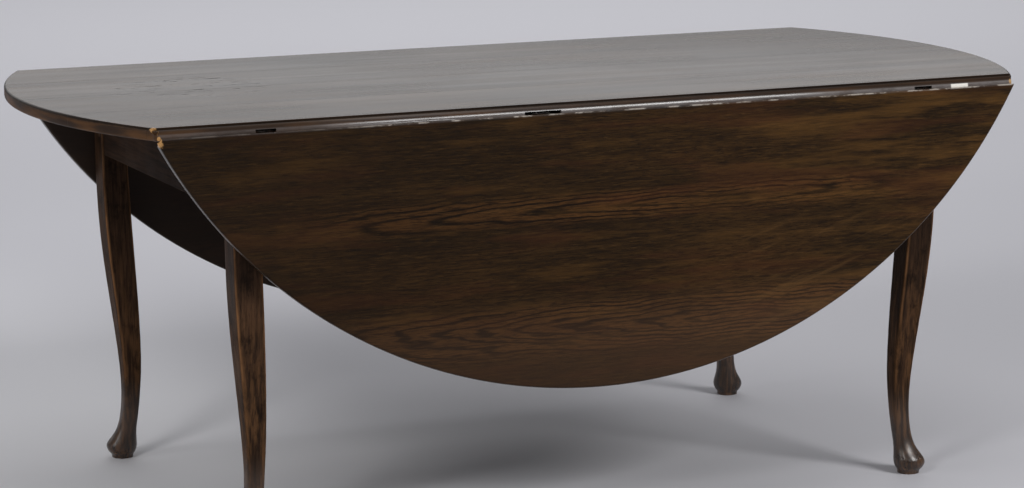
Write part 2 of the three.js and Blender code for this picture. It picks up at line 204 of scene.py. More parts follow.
class Finish:
    """A material's nodes, added one at a time."""

    def __init__(self, name):
        self.material = bpy.data.materials.new(name)
        self.material.use_nodes = True
        self.tree = self.material.node_tree
        self.tree.nodes.clear()
        self.output = self.node("ShaderNodeOutputMaterial")
        self.shader = self.node("ShaderNodeBsdfPrincipled")
        self.tree.links.new(self.shader.outputs[0], self.output.inputs[0])
        place = self.node("ShaderNodeTexCoord")
        self.place = place.outputs["Object"]
        split = self.node("ShaderNodeSeparateXYZ")
        self.tree.links.new(self.place, split.inputs[0])
        self.x, self.y, self.z = split.outputs[:3]

    def node(self, kind, **settings):
        node = self.tree.nodes.new(kind)
        for key, value in settings.items():
            setattr(node, key, value)
        return node

    def feed(self, socket, value):
        if isinstance(value, bpy.types.NodeSocket):
            self.tree.links.new(value, socket)
        else:
            socket.default_value = value

    def math(self, operation, *values, clamp=False):
        node = self.node("ShaderNodeMath", operation=operation, use_clamp=clamp)
        for socket, value in zip(node.inputs, values):
            self.feed(socket, value)
        return node.outputs[0]

    def plus(self, first, second):
        return self.math("ADD", first, second)

    def less(self, first, second):
        return self.math("SUBTRACT", first, second)

    def times(self, first, second):
        return self.math("MULTIPLY", first, second)

    def off(self, value, middle):
        """How far a value lies from a middle one, either way."""
        return self.math("ABSOLUTE", self.less(value, middle))

    def distance(self, spot):
        """How far the surface is from one spot on the object."""
        node = self.node("ShaderNodeVectorMath", operation="DISTANCE")
        self.feed(node.inputs[0], self.place)
        node.inputs[1].default_value = spot
        return node.outputs["Value"]

    def glancing(self):
        """1 where the surface is seen at a low angle, and 0 where it is faced, for gloss alone."""
        return self.band(self.node("ShaderNodeLayerWeight").outputs["Facing"], 0.25, 0.60)

    def band(self, value, low, high, soft_low=0.0, soft_high=1.0):
        """Value taken from low..high to soft_low..soft_high, held at the ends."""
        node = self.node("ShaderNodeMapRange", interpolation_type="SMOOTHSTEP")
        for socket, number in zip(node.inputs, (value, low, high, soft_low, soft_high)):
            self.feed(socket, number)
        return node.outputs[0]

    def noise(self, scale, detail=2.0, roughness=0.5, shift=(0, 0, 0), place=None, warp=0.0):
        """Noise with its own scale along X, Y and Z, in marks to the metre."""
        mapping = self.node("ShaderNodeMapping")
        self.feed(mapping.inputs["Vector"], place or self.place)
        mapping.inputs["Location"].default_value = shift
        mapping.inputs["Scale"].default_value = scale
        noise = self.node("ShaderNodeTexNoise")
        self.feed(noise.inputs["Vector"], mapping.outputs[0])
        noise.inputs["Scale"].default_value = 1.0
        noise.inputs["Detail"].default_value = detail
        noise.inputs["Roughness"].default_value = roughness
        noise.inputs["Distortion"].default_value = warp
        return noise.outputs[0]

    def mix(self, share, under, over):
        """A share of one colour laid over another."""
        node = self.node("ShaderNodeMix", data_type="RGBA")
        self.feed(node.inputs[0], share)
        self.feed(node.inputs[6], under)
        self.feed(node.inputs[7], over)
        return node.outputs[2]

    def ramp(self, value, *stops):
        node = self.node("ShaderNodeValToRGB")
        node.color_ramp.elements.remove(node.color_ramp.elements[1])
        for i, (position, colour) in enumerate(stops):
            stop = node.color_ramp.elements[0] if i == 0 else node.color_ramp.elements.new(position)
            stop.position = position
            stop.color = (*colour, 1)
        self.feed(node.inputs[0], value)
        return node.outputs[0]

    def edges(self, radius):
        """1 on corners, fading out about a radius away, and 0 on flat wood."""
        soft = self.node("ShaderNodeBevel", samples=6)
        soft.inputs["Radius"].default_value = radius
        true = self.node("ShaderNodeNewGeometry")
        apart = self.node("ShaderNodeVectorMath", operation="DOT_PRODUCT")
        self.feed(apart.inputs[0], soft.outputs[0])
        self.feed(apart.inputs[1], true.outputs["Normal"])
        return self.band(self.less(1.0, apart.outputs["Value"]), 0.02, 0.3)

    def arrises(self, low, high):
        """1 along sharply curved edges of a finely divided piece, and 0 on its flats."""
        shape = self.node("ShaderNodeNewGeometry")
        return self.band(shape.outputs["Pointiness"], low, high)

    def bump(self, height, depth, strength=1.0, under=None):
        node = self.node("ShaderNodeBump")
        node.inputs["Strength"].default_value = strength
        node.inputs["Distance"].default_value = depth
        self.feed(node.inputs["Height"], height)
        if under:
            self.feed(node.inputs["Normal"], under)
        return node.outputs[0]

    def polish(self, colour, roughness, normal, specular=0.5):
        self.feed(self.shader.inputs["Base Color"], colour)
        self.feed(self.shader.inputs["Roughness"], roughness)
        self.feed(self.shader.inputs["Normal"], normal)
        self.feed(self.shader.inputs["Specular IOR Level"], specular)
        return self.material


def rgb(*screen):
    """A colour seen on screen, from 0 to 255, as the amounts of light that a shader takes."""
    shares = [amount / 255 for amount in screen]
    return tuple(s / 12.92 if s <= 0.04045 else ((s + 0.055) / 1.055) ** 2.4 for s in shares)


def colour(*screen):
    """The same, with the opacity that a colour socket takes."""
    return (*rgb(*screen), 1)


PALE_BREAK = colour(176, 134, 84)


# Where the leaf's two boards are glued, and the middle of each one's flame, with the leaf hanging
LEAF_GLUE_LINE = 0.405
UPPER_FLAME = (0.165, 0.555)
LOWER_FLAME = (0.22, 0.343)
LOWER_BOLD_Z = 0.345
RINGS_TO_METRE = 150.0
LEAF_CORNER_BREAK = (-0.815, -0.425, 0.713)


def flame(oak, x, z, heart, tilt, shallow, spread):
    """The growth rings of a flat-sawn board: the face's distance from a pith that is nearest at the heart."""
    heart_x, heart_z = heart
    along = oak.less(x, heart_x)
    depth = oak.math("MULTIPLY_ADD", oak.math("ABSOLUTE", along), spread, shallow)
    level = oak.math("MULTIPLY_ADD", along, tilt, heart_z)
    across = oak.less(z, level)
    return oak.math("SQRT", oak.plus(oak.math("POWER", across, 2.0), oak.math("POWER", depth, 2.0)))


def leaf_oak():
    """Dark flat-sawn oak: two glued boards, each with its own flame, under old wax."""
    oak = Finish("leaf_oak")
    wander = oak.noise((4.6, 4.6, 44.0), detail=3.0, roughness=0.6)
    sway = oak.noise((8.0, 8.0, 14.0), detail=3.0, shift=(4, 1, 7))
    x = oak.plus(oak.x, oak.times(oak.less(wander, 0.5), 0.34))
    z = oak.plus(oak.z, oak.times(oak.less(sway, 0.5), 0.022))
    upper = flame(oak, x, z, UPPER_FLAME, tilt=0.012, shallow=0.002, spread=0.040)
    lower = flame(oak, x, z, LOWER_FLAME, tilt=-0.016, shallow=0.001, spread=0.075)
    above = oak.math("GREATER_THAN", oak.z, LEAF_GLUE_LINE)
    below = oak.less(1.0, above)
    field = oak.plus(oak.times(upper, above), oak.times(lower, below))
    rings = oak.math("FRACT", oak.times(field, RINGS_TO_METRE))
    line = oak.times(oak.band(rings, 0.0, 0.34), oak.band(rings, 1.0, 0.70, 0.15, 1.0))
    # each flame is bold along its middle, and fades here and there and towards the ends
    near_lower = oak.band(oak.off(oak.z, LOWER_BOLD_Z), 0.030, 0.055, 1.0, 0.12)
    near_upper = oak.band(oak.off(oak.z, UPPER_FLAME[1]), 0.014, 0.032, 0.95, 0.12)
    fade = oak.noise((2.2, 2.2, 5.0), detail=1.0, shift=(9, 3, 2))
    ends = oak.band(oak.off(oak.x, 0.02), 0.66, 0.42, 0.25, 1.0)
    bold = oak.times(oak.math("MAXIMUM", near_lower, near_upper), oak.band(fade, 0.30, 0.50, 0.55, 1.0))
    bold = oak.times(bold, ends)
    figure = oak.less(1.0, oak.times(oak.less(1.0, line), bold))
    patches = oak.noise((3.4, 3.4, 9.0), detail=4.0, roughness=0.62, shift=(2, 5, 1))
    ground = oak.ramp(
        patches,
        (0.25, rgb(34, 24, 13)),
        (0.45, rgb(44, 31, 16)),
        (0.60, rgb(54, 37, 19)),
        (0.78, rgb(69, 48, 24)),
    )
    # paler early wood between the dark lines of each flame
    glow = oak.times(bold, line)
    wood = oak.mix(oak.times(glow, 0.65), ground, colour(96, 63, 33))
    wood = oak.mix(oak.band(figure, 0.0, 1.0, 0.88, 0.0), wood, colour(19, 13, 9))
    # fibres, and the pores that lie along them as short dark dashes
    fibres = oak.noise((30.0, 30.0, 380.0), detail=4.0, roughness=0.7, warp=0.3)
    strands = oak.noise((4.0, 4.0, 150.0), detail=3.0, roughness=0.6, shift=(2, 2, 2))
    pores = oak.noise((60.0, 60.0, 700.0), detail=2.0, roughness=0.6, shift=(3, 0, 8))
    wood = oak.mix(oak.band(strands, 0.55, 0.32, 0.0, 0.45), wood, colour(27, 18, 12))
    wood = oak.mix(oak.band(strands, 0.56, 0.72, 0.0, 0.30), wood, colour(80, 57, 31))
    wood = oak.mix(oak.band(fibres, 0.52, 0.36, 0.0, 0.62), wood, colour(24, 17, 12))
    wood = oak.mix(oak.band(fibres, 0.54, 0.70, 0.0, 0.42), wood, colour(88, 64, 36))
    wood = oak.mix(oak.band(pores, 0.47, 0.36, 0.0, 0.55), wood, colour(19, 13, 9))
    # slanting golden rays on the right, where the saw ran across the medullary rays
    slant = oak.math("MULTIPLY_ADD", oak.x, -0.32, oak.z)
    rays_place = oak.node("ShaderNodeCombineXYZ")
    oak.feed(rays_place.inputs[0], oak.x)
    oak.feed(rays_place.inputs[2], slant)
    slanted = rays_place.outputs[0]
    rays = oak.noise((4.0, 1.0, 60.0), detail=3.0, roughness=0.6, shift=(1, 0, 5), place=slanted)
    right = oak.times(oak.band(oak.x, 0.05, 0.40), oak.band(oak.z, 0.537, 0.467))
    wood = oak.mix(oak.times(oak.band(rays, 0.52, 0.70, 0.0, 0.42), right), wood, colour(94, 68, 38))
    # golden patches where the polish has thinned
    thin = oak.noise((4.0, 4.0, 34.0), detail=4.0, roughness=0.65, shift=(8, 8, 3))
    wood = oak.mix(oak.band(thin, 0.53, 0.72, 0.0, 0.30), wood, colour(98, 68, 32))
    gold = oak.times(oak.band(oak.x, 0.10, 0.70, 0.0, 0.34), oak.band(thin, 0.42, 0.60))
    wood = oak.mix(gold, wood, colour(106, 74, 36))
    # a red cast in places, and a painted reflection of the floor that makes the wood paler low down
    red = oak.noise((2.5, 2.5, 20.0), detail=3.0, roughness=0.6, shift=(6, 2, 9))
    wood = oak.mix(oak.band(red, 0.50, 0.66, 0.0, 0.34), wood, colour(70, 40, 24))
    painted_floor_reflection = oak.times(oak.band(oak.z, 0.427, 0.317), 0.36)
    wood = oak.mix(painted_floor_reflection, wood, colour(84, 64, 50))
    # painted shade: the leaf grows darker towards the left, where less light falls on it
    wood = oak.mix(oak.band(oak.x, 0.35, -0.75, 0.0, 0.50), wood, colour(22, 16, 11))
    # the face that hangs against the frame is made paler and greyer
    inside = oak.band(oak.math("ABSOLUTE", oak.y), JOINT_Y - 0.001, JOINT_Y - 0.004)
    wood = oak.mix(oak.times(inside, 0.75), wood, colour(46, 38, 34))
    # worn corners, and a lip that is chipped pale but for its left end
    worn_places = oak.band(oak.noise((30, 30, 30), shift=(5, 5, 5)), 0.46, 0.66)
    wear = oak.times(oak.edges(0.0030), worn_places)
    wood = oak.mix(oak.times(wear, 0.35), wood, colour(128, 96, 64))
    lip = oak.band(oak.z, PIN_Z - 0.0035, PIN_Z - 0.0005)
    chipped = oak.band(oak.noise((30, 46, 46), detail=4.0, roughness=0.65, shift=(1, 2, 3)), 0.46, 0.58)
    lip = oak.times(lip, oak.band(oak.x, -0.52, -0.36, 0.12, 0.85))
    wood = oak.mix(oak.times(lip, chipped), wood, colour(186, 176, 164))
    # the corner that has broken away
    broken = oak.plus(oak.distance(LEAF_CORNER_BREAK), oak.times(oak.noise((120, 120, 120)), 0.016))
    wood = oak.mix(oak.band(broken, 0.024, 0.019), wood, PALE_BREAK)
    rough = oak.band(oak.noise((3, 3, 20), detail=3.0, shift=(6, 1, 1)), 0.3, 0.7, 0.36, 0.50)
    height = oak.less(oak.times(figure, 0.35), oak.band(pores, 0.46, 0.34))
    waves = oak.bump(oak.noise((2.0, 2.0, 7.0), detail=1.0, shift=(7, 7, 7)), 0.0016, 0.35)
    sheen = oak.band(oak.z, PIN_Z - 0.004, PIN_Z - 0.001, 0.06, 0.6)
    # the old wax shines at a glancing angle, as it does on the top
    glancing = oak.glancing()
    sheen = oak.math("MAXIMUM", sheen, oak.times(glancing, 0.44))
    rough = oak.math("MULTIPLY_ADD", glancing, -0.16, rough)
    return oak.polish(wood, rough, oak.bump(height, 0.00025, 0.5, waves), specular=sheen)


# The middle board is glued up from narrower ones, counted from a line in front of the table
STRIP_WIDTH = 0.205
STRIPS_FROM = 0.6055
SHAKES_AT = (-0.60, 0.06, HEIGHT)
WHITE_SPOT_X = 0.697
# Where the top's corners have broken: place, reach and colour
TOP_BREAKS = (
    ((-0.815, -0.412, 0.736), 0.0085, PALE_BREAK),
    ((-0.811, -0.418, 0.7315), 0.0060, PALE_BREAK),
    ((-0.812, -0.4235, 0.725), 0.0060, PALE_BREAK),
    ((-0.808, -0.4245, 0.720), 0.0060, PALE_BREAK),
    ((0.808, -0.4235, 0.723), 0.0080, colour(168, 134, 92)),
)


def top_oak():
    """The same oak on top, polished to a satin gloss, with long glue lines and a patch of shakes."""
    oak = Finish("top_oak")
    # how far the surface is from the table's long middle line
    out = oak.math("ABSOLUTE", oak.y)
    strips = oak.math("DIVIDE", oak.plus(oak.y, STRIPS_FROM), STRIP_WIDTH)
    strip = oak.math("FLOOR", strips)
    # each strip takes its figure from another place along the grain
    shift = oak.node("ShaderNodeCombineXYZ")
    oak.feed(shift.inputs[0], oak.times(strip, 3.7))
    moved = oak.node("ShaderNodeVectorMath", operation="ADD")
    oak.feed(moved.inputs[0], oak.place)
    oak.feed(moved.inputs[1], shift.outputs[0])
    place = moved.outputs[0]
    patches = oak.noise((1.6, 8.0, 8.0), detail=3.0, roughness=0.6, place=place)
    ground = oak.ramp(
        patches,
        (0.28, rgb(50, 37, 28)),
        (0.48, rgb(70, 52, 37)),
        (0.62, rgb(84, 63, 44)),
        (0.78, rgb(98, 76, 52)),
    )
    fibres = oak.noise((4.0, 150.0, 150.0), detail=4.0, roughness=0.62, place=place, warp=0.2)
    pores = oak.noise((22.0, 800.0, 800.0), detail=2.0, roughness=0.6, shift=(3, 0, 8))
    wood = oak.mix(oak.band(fibres, 0.56, 0.36, 0.0, 0.6), ground, colour(34, 25, 18))
    wood = oak.mix(oak.band(fibres, 0.58, 0.74, 0.0, 0.4), wood, colour(118, 92, 62))
    wood = oak.mix(oak.band(pores, 0.46, 0.34, 0.0, 0.6), wood, colour(26, 19, 14))
    seam = oak.band(oak.off(oak.math("FRACT", strips), 0.5), 0.4945, 0.4985)
    wood = oak.mix(oak.times(seam, 0.7), wood, colour(20, 14, 10))
    # shakes: short dark cracks along the grain, in a patch towards the left
    shakes = oak.noise((16.0, 90.0, 90.0), detail=3.0, roughness=0.7, shift=(2, 9, 4), warp=0.8)
    crack = oak.times(oak.band(shakes, 0.61, 0.65), oak.band(oak.distance(SHAKES_AT), 0.17, 0.09))
    wood = oak.mix(crack, wood, colour(14, 10, 8))
    # the moulded edge is darker, rubbed pale in places, with a line of painted shade just below the top face,
    # where the rounded arris turns down
    rim = oak.band(oak.z, HEIGHT - 0.003, HEIGHT - 0.008)
    wood = oak.mix(oak.math("MULTIPLY", rim, 1.3, clamp=True), wood, colour(44, 31, 22))
    rubbed = oak.band(oak.noise((9, 9, 60), detail=3.0, shift=(1, 5, 2)), 0.38, 0.66)
    rim = oak.times(rim, oak.band(out, JOINT_Y - 0.001, JOINT_Y + 0.002, 0.42, 0.22))
    wood = oak.mix(oak.times(rim, rubbed), wood, colour(110, 74, 40))
    line_bottom = oak.band(oak.z, HEIGHT - 0.0055, HEIGHT - 0.003)
    line_top = oak.band(oak.z, HEIGHT - 0.0002, HEIGHT - 0.0008)
    painted_shade_line = oak.times(line_bottom, line_top)
    wood = oak.mix(oak.times(painted_shade_line, 0.8), wood, colour(22, 15, 11))
    # a painted grey reflection lies along the foot of the ovolo, patchy and fainter at its left end
    foot_low = oak.band(oak.z, PIN_Z + 0.0075, PIN_Z + 0.0045)
    foot = oak.times(foot_low, oak.band(out, JOINT_Y + 0.009, JOINT_Y + 0.011))
    reflection_patches = oak.noise((14, 14, 40), detail=4.0, roughness=0.65, shift=(2, 6, 2))
    painted_reflection = oak.band(reflection_patches, 0.34, 0.56, 0.35, 0.9)
    painted_reflection = oak.times(painted_reflection, oak.band(oak.x, -0.58, -0.40, 0.35, 1.0))
    wood = oak.mix(oak.times(foot, painted_reflection), wood, colour(104, 98, 96))
    # bare wood where the corners have broken
    for spot, reach, break_colour in TOP_BREAKS:
        ragged = oak.plus(oak.distance(spot), oak.times(oak.noise((130, 130, 130)), reach))
        wood = oak.mix(oak.band(ragged, reach * 1.45, reach * 1.2), wood, break_colour)
    # a nearly white spot in the joint
    white_spot = oak.band(oak.off(oak.x, WHITE_SPOT_X), 0.019, 0.016)
    white_spot = oak.times(white_spot, oak.band(oak.z, PIN_Z + 0.0065, PIN_Z + 0.0045))
    white_spot = oak.times(white_spot, oak.band(oak.y, -0.418, -0.421))
    wood = oak.mix(white_spot, wood, colour(226, 222, 214))
    streaks = oak.noise((1.2, 26.0, 26.0), detail=3.0, roughness=0.6, shift=(0, 4, 0), place=place)
    cloud = oak.noise((3.0, 5.0, 5.0), detail=3.0, shift=(4, 4, 0))
    rough = oak.plus(oak.band(streaks, 0.3, 0.7, 0.20, 0.25), oak.band(cloud, 0.35, 0.7, 0.0, 0.05))
    rough = oak.plus(rough, oak.times(crack, 0.4))
    height = oak.less(oak.band(fibres, 0.3, 0.6), oak.band(pores, 0.46, 0.34))
    # the curved ends of the rim, and the ovolo near them, are dull
    outer = oak.band(oak.z, HEIGHT - 0.0008, HEIGHT - 0.003)
    outer = oak.times(outer, oak.band(out, JOINT_Y, JOINT_Y - 0.001))
    dull = oak.math("MAXIMUM", painted_shade_line, oak.times(outer, 0.95))
    ovolo = oak.band(oak.z, HEIGHT - 0.003, HEIGHT - 0.005)
    ovolo = oak.times(ovolo, oak.band(out, JOINT_Y, JOINT_Y + 0.003))
    left_end = oak.band(oak.x, -0.40, -0.58, 0.0, 0.95)
    right_end = oak.band(oak.x, 0.33, 0.47, 0.0, 0.85)
    ends = oak.times(ovolo, oak.math("MAXIMUM", left_end, right_end))
    dull = oak.math("MAXIMUM", dull, ends)
    shine = oak.math("MULTIPLY_ADD", dull, -0.36, 0.44)
    rough = oak.plus(rough, oak.times(oak.math("MAXIMUM", outer, ends), 0.2))
    waves = oak.bump(oak.noise((1.5, 9.0, 9.0), detail=2.0, shift=(7, 7, 7)), 0.0008, 0.12)
    cracks = oak.bump(oak.less(1.0, oak.math("MAXIMUM", crack, seam)), 0.0008, 0.8, waves)
    return oak.polish(wood, rough, oak.bump(height, 0.00008, 0.12, cracks), specular=shine)


def straight_oak(name, grain, dark, mid, light, worn, gloss, rings=120.0, wear=0.6, sheen=0.4, legs=False):
    """Straight-grained oak for the legs, rails and pegs, with its grain along X, Y or Z."""
    oak = Finish(name)
    long_way = "XYZ".index(grain)
    stretch = lambda along, across: tuple(along if i == long_way else across for i in range(3))
    drift = oak.noise(stretch(1.6, 14.0), detail=2.0, shift=(3, 1, 2))
    # the rings lie at a slant across the end of the stick
    one_way, other_way = [axis for i, axis in enumerate((oak.x, oak.y, oak.z)) if i != long_way]
    slope = oak.plus(oak.times(one_way, 0.86), oak.times(other_way, 0.5))
    ring = oak.math("FRACT", oak.times(oak.plus(slope, oak.times(drift, 0.03)), rings))
    line = oak.times(oak.band(ring, 0.0, 0.35), oak.band(ring, 1.0, 0.75, 0.3, 1.0))
    patches = oak.noise(stretch(3.0, 16.0), detail=3.0, roughness=0.6, shift=(2, 5, 1))
    ground = oak.ramp(patches, (0.28, rgb(*dark)), (0.52, rgb(*mid)), (0.76, rgb(*light)))
    fibres = oak.noise(stretch(8.0, 260.0), detail=4.0, roughness=0.65)
    pores = oak.noise(stretch(30.0, 900.0), detail=2.0, shift=(3, 0, 8))
    shade = tuple(c * 0.45 for c in dark)
    wood = oak.mix(oak.times(oak.less(1.0, line), 0.35), ground, colour(*shade))
    wood = oak.mix(oak.band(fibres, 0.56, 0.36, 0.0, 0.5), wood, colour(*shade))
    wood = oak.mix(oak.band(fibres, 0.58, 0.74, 0.0, 0.4), wood, colour(*light))
    wood = oak.mix(oak.band(pores, 0.46, 0.34, 0.0, 0.5), wood, colour(*shade))
    rough = oak.band(oak.noise((9, 9, 9), detail=3.0, shift=(6, 1, 1)), 0.3, 0.7, gloss, gloss + 0.14)
    if legs:
        # paler low down in mottled patches, painted light on the lower legs, and glossiest on the feet
        low_mottle = oak.noise((150, 150, 11), detail=4.0, roughness=0.65, shift=(4, 4, 1))
        low = oak.times(oak.band(oak.z, 0.50, 0.20), oak.band(low_mottle, 0.42, 0.62, 0.02, 0.26))
        wood = oak.mix(low, wood, colour(*worn))
        smoke = oak.noise((40, 40, 26), detail=4.0, roughness=0.7, shift=(1, 8, 1))
        wood = oak.mix(oak.band(smoke, 0.50, 0.70, 0.0, 0.7), wood, colour(*shade))
        feet = oak.band(oak.z, 0.17, 0.07)
        rough = oak.math("MULTIPLY_ADD", feet, -0.18, rough)
        sheen = oak.math("MULTIPLY_ADD", feet, 0.55, sheen)
    rubbed = oak.band(oak.noise(stretch(16.0, 50.0), detail=3.0, shift=(5, 5, 5)), 0.30, 0.56, 0.25, 1.0)
    edge = oak.arrises(0.512, 0.56) if legs else oak.edges(0.0035)
    rubbed = oak.times(oak.times(edge, rubbed), oak.band(oak.z, 0.64, 0.42, wear * 0.3, wear))
    wood = oak.mix(rubbed, wood, colour(*worn))
    dents = oak.bump(oak.noise((22, 22, 22), detail=2.0, shift=(7, 7, 7)), 0.0009, 0.3)
    height = oak.less(oak.times(line, 0.3), oak.band(pores, 0.46, 0.34))
    return oak.polish(wood, rough, oak.bump(height, 0.00025, 0.5, dents), specular=sheen)


def forged_iron(name, ground, rust):
    """Dark hammered iron with a bloom of rust, rubbed bright on its corners."""
    iron = Finish(name)
    scale = iron.noise((160, 160, 160), detail=4.0, roughness=0.65)
    bloom = iron.noise((40, 40, 40), detail=3.0, shift=(2, 2, 2))
    skin = iron.mix(iron.band(scale, 0.35, 0.65), colour(*(c * 0.6 for c in ground)), colour(*ground))
    skin = iron.mix(iron.band(bloom, 0.48, 0.66, 0.0, 0.7), skin, colour(*rust))
    skin = iron.mix(iron.times(iron.edges(0.0012), 0.5), skin, colour(120, 112, 104))
    iron.shader.inputs["Metallic"].default_value = 0.8
    rough = iron.band(bloom, 0.4, 0.7, 0.42, 0.75)
    return iron.polish(skin, rough, iron.bump(scale, 0.0004, 0.6))


LEAF_OAK = leaf_oak()
TOP_OAK = top_oak()
LEG_OAK = straight_oak(
    "leg_oak", "Z", dark=(34, 24, 17), mid=(52, 37, 27), light=(80, 57, 40), worn=(140, 99, 64),
    gloss=0.38, sheen=0.04, wear=0.9, legs=True,
)
RAIL_LOOK = dict(
    dark=(30, 21, 16), mid=(42, 29, 21), light=(58, 41, 29), worn=(84, 60, 40),
    gloss=0.62, sheen=0.05,
)
SIDE_OAK = straight_oak("side_rail_oak", "X", **RAIL_LOOK)
END_OAK = straight_oak("end_rail_oak", "Y", **RAIL_LOOK)
PEG_OAK = straight_oak(
    "peg_oak", "Y", dark=(54, 36, 25), mid=(76, 52, 35), light=(98, 70, 46), worn=(130, 94, 60),
    gloss=0.45,
)
BLOCK_PINE = straight_oak(
    "block_pine", "X", dark=(92, 66, 40), mid=(118, 88, 55), light=(142, 110, 72), worn=(160, 128, 88),
    gloss=0.62, rings=240.0,
)
HINGE_IRON = forged_iron("hinge_iron", (64, 58, 54), (84, 50, 32))
PIN_IRON = forged_iron("pin_iron", (86, 80, 76), (78, 50, 36))


def clothe(piece, material):
    """Gives a piece one finish all over."""
    piece.data.materials.clear()
    piece.data.materials.append(material)


# ---------------------------------------------------------------- the boards of the top

# Each chip's place, size, seed for its roughness, and turn
TOP_CHIPS = (
    ((-CORNER_X - 0.002, -JOINT_Y - 0.006, HEIGHT - 0.004), (0.011, 0.010, 0.006), 3, 0.5),
    ((CORNER_X - 0.001, -JOINT_Y - 0.010, PIN_Z + 0.006), (0.008, 0.008, 0.005), 8, 0.5),
    ((-0.30, -JOINT_Y - 0.016, PIN_Z + 0.002), (0.030, 0.0035, 0.003), 21, 0.02),
    ((0.66, -JOINT_Y - 0.0165, PIN_Z + 0.003), (0.022, 0.003, 0.003), 22, 0.02),
)
FRONT_LEAF_CHIPS = (
    ((-CORNER_X - 0.001, -0.424, PIN_Z + 0.001), (0.011, 0.012, 0.007), 5, 0.3),
    ((CORNER_X + 0.002, -0.426, PIN_Z + 0.001), (0.007, 0.010, 0.004), 6, 0.3),
)


def oval_board(name):
    """The whole oval, open, with both edges of its rim rounded."""
    bpy.ops.object.select_all(action="DESELECT")
    bpy.ops.mesh.primitive_circle_add(
        vertices=RIM_POINTS, radius=1, fill_type="NGON", location=(0, 0, UNDERSIDE)
    )
    bpy.ops.object.transform_apply(location=True)
    board = added(name)
    open_whole(board)
    bpy.ops.transform.resize(value=(HALF_LENGTH, HALF_WIDTH, 1), center_override=(0, 0, UNDERSIDE))
    bpy.ops.mesh.extrude_region_move(TRANSFORM_OT_translate={"value": (0, 0, BOARD)})
    pick_edges(board, lambda edge: rise(edge) < 1e-6)
    bpy.ops.mesh.bevel(offset=RIM_ROUND, segments=5, profile=0.5)
    close_mesh()
    return board


def sawn(board, y, keep_outside):
    """Saws a board along the line y and keeps one side of it."""
    open_whole(board)
    bpy.ops.mesh.bisect(
        plane_co=(0, y, 0),
        plane_no=(0, 1, 0),
        use_fill=True,
        clear_inner=keep_outside,
        clear_outer=not keep_outside,
    )
    close_mesh()


def hinge_rooms(side):
    """Cutters for one leaf's hinges in the middle board, made for the back, splintered by side: 1 or -1."""
    beneath = UNDERSIDE - CUT_CLEAR
    for i, (hinge_x, width) in enumerate(zip(HINGE_X, HINGE_SLOT)):
        low_x, high_x = hinge_x - width / 2, hinge_x + width / 2
        yield block("slot", (low_x, JOINT_Y - 0.006, beneath), (high_x, SLOT_MOUTH, PIN_Z + 0.005))
        # the mouth of the slot is splintered
        split = block("split", (low_x, JOINT_Y + 0.005, beneath), (high_x, SLOT_MOUTH, PIN_Z + 0.0048))
        open_whole(split)
        bpy.ops.mesh.subdivide(number_cuts=4)
        bpy.ops.transform.vertex_random(offset=0.0011, seed=11 + i + (side > 0) * 5)
        close_mesh()
        yield split
        bed_lo = (hinge_x - BED_HALF, JOINT_Y - TOP_REACH, beneath)
        yield block("bed", bed_lo, (hinge_x + BED_HALF, JOINT_Y, UNDERSIDE + HINGE_PLATE))


def chip(at, size, seed, turn):
    """A rough wedge that breaks a corner away."""
    bpy.ops.object.select_all(action="DESELECT")
    bpy.ops.mesh.primitive_ico_sphere_add(
        subdivisions=2, radius=1, location=at, scale=size, rotation=(turn, turn * 0.6, turn)
    )
    bpy.ops.object.transform_apply(location=True, rotation=True, scale=True)
    cutter = added("chip")
    open_whole(cutter)
    bpy.ops.transform.vertex_random(offset=min(size) * 0.22, seed=seed)
    close_mesh()
    return cutter


def middle_board():
    """The fixed middle board, with the ovolo of both rule joints, its hinge rooms and its chips."""
    board = oval_board("top_board")
    edge = JOINT_Y + OVOLO_R
    sawn(board, edge, keep_outside=False)
    sawn(board, -edge, keep_outside=True)
    for side in (1, -1):
        rebate = block("rebate", (-1, JOINT_Y, UNDERSIDE - CUT_CLEAR), (1, JOINT_Y + 0.06, HEIGHT + 0.02))
        cut(rebate, joint_rod("ovolo", OVOLO_R))
        if side < 0:
            turn_half_round(rebate)
        cut(board, rebate)
        for room in hinge_rooms(side):
            if side < 0:
                turn_half_round(room)
            cut(board, room)
    for place in TOP_CHIPS:
        cut(board, chip(*place))
    settle(board)
    return board


def leaf_board(name):
    """A leaf, sawn off the oval, with the cove of the rule joint, then let down about its hinge pin."""
    board = oval_board(name)
    sawn(board, JOINT_Y + JOINT_GAP, keep_outside=True)
    cut(board, joint_rod("cove", COVE_R))
    for hinge_x in HINGE_X:
        bed_lo = (hinge_x - BED_HALF, JOINT_Y, UNDERSIDE - CUT_CLEAR)
        bed_hi = (hinge_x + BED_HALF, JOINT_Y + LEAF_REACH, UNDERSIDE + HINGE_PLATE)
        cut(board, block("bed", bed_lo, bed_hi))
    open_whole(board)
    bpy.ops.transform.rotate(value=math.radians(90), orient_axis="X", center_override=(0, JOINT_Y, PIN_Z))
    close_mesh()
    settle(board)
    return board


top_board = middle_board()
back_leaf_board = leaf_board("back_leaf_board")
front_leaf_board = copy_of(back_leaf_board, "front_leaf_board")
turn_half_round(front_leaf_board)
for place in FRONT_LEAF_CHIPS:
    cut(front_leaf_board, chip(*place))
settle(front_leaf_board)

for board, node, body, material in (
    (top_board, "top_center", "table_frame", TOP_OAK),
    (back_leaf_board, "back_leaf", "back_leaf", LEAF_OAK),
    (front_leaf_board, "front_leaf", "front_leaf", LEAF_OAK),
):
    clothe(board, material)
    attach(board, body)
    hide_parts(node)


# ---------------------------------------------------------------- the hinge screws

SCREW_R = 0.0034
SCREW_HEAD = 0.0012
SCREW_PROUD = 0.0003
# Each screw's place along the hinge and out from the pin, in the top plate and in the leaf plate
TOP_PATTERN = ((-0.0095, -0.0155), (0.0095, -0.0285))
LEAF_PATTERN = ((-0.0095, 0.0165), (0.0095, 0.0335), (-0.0095, 0.0545))


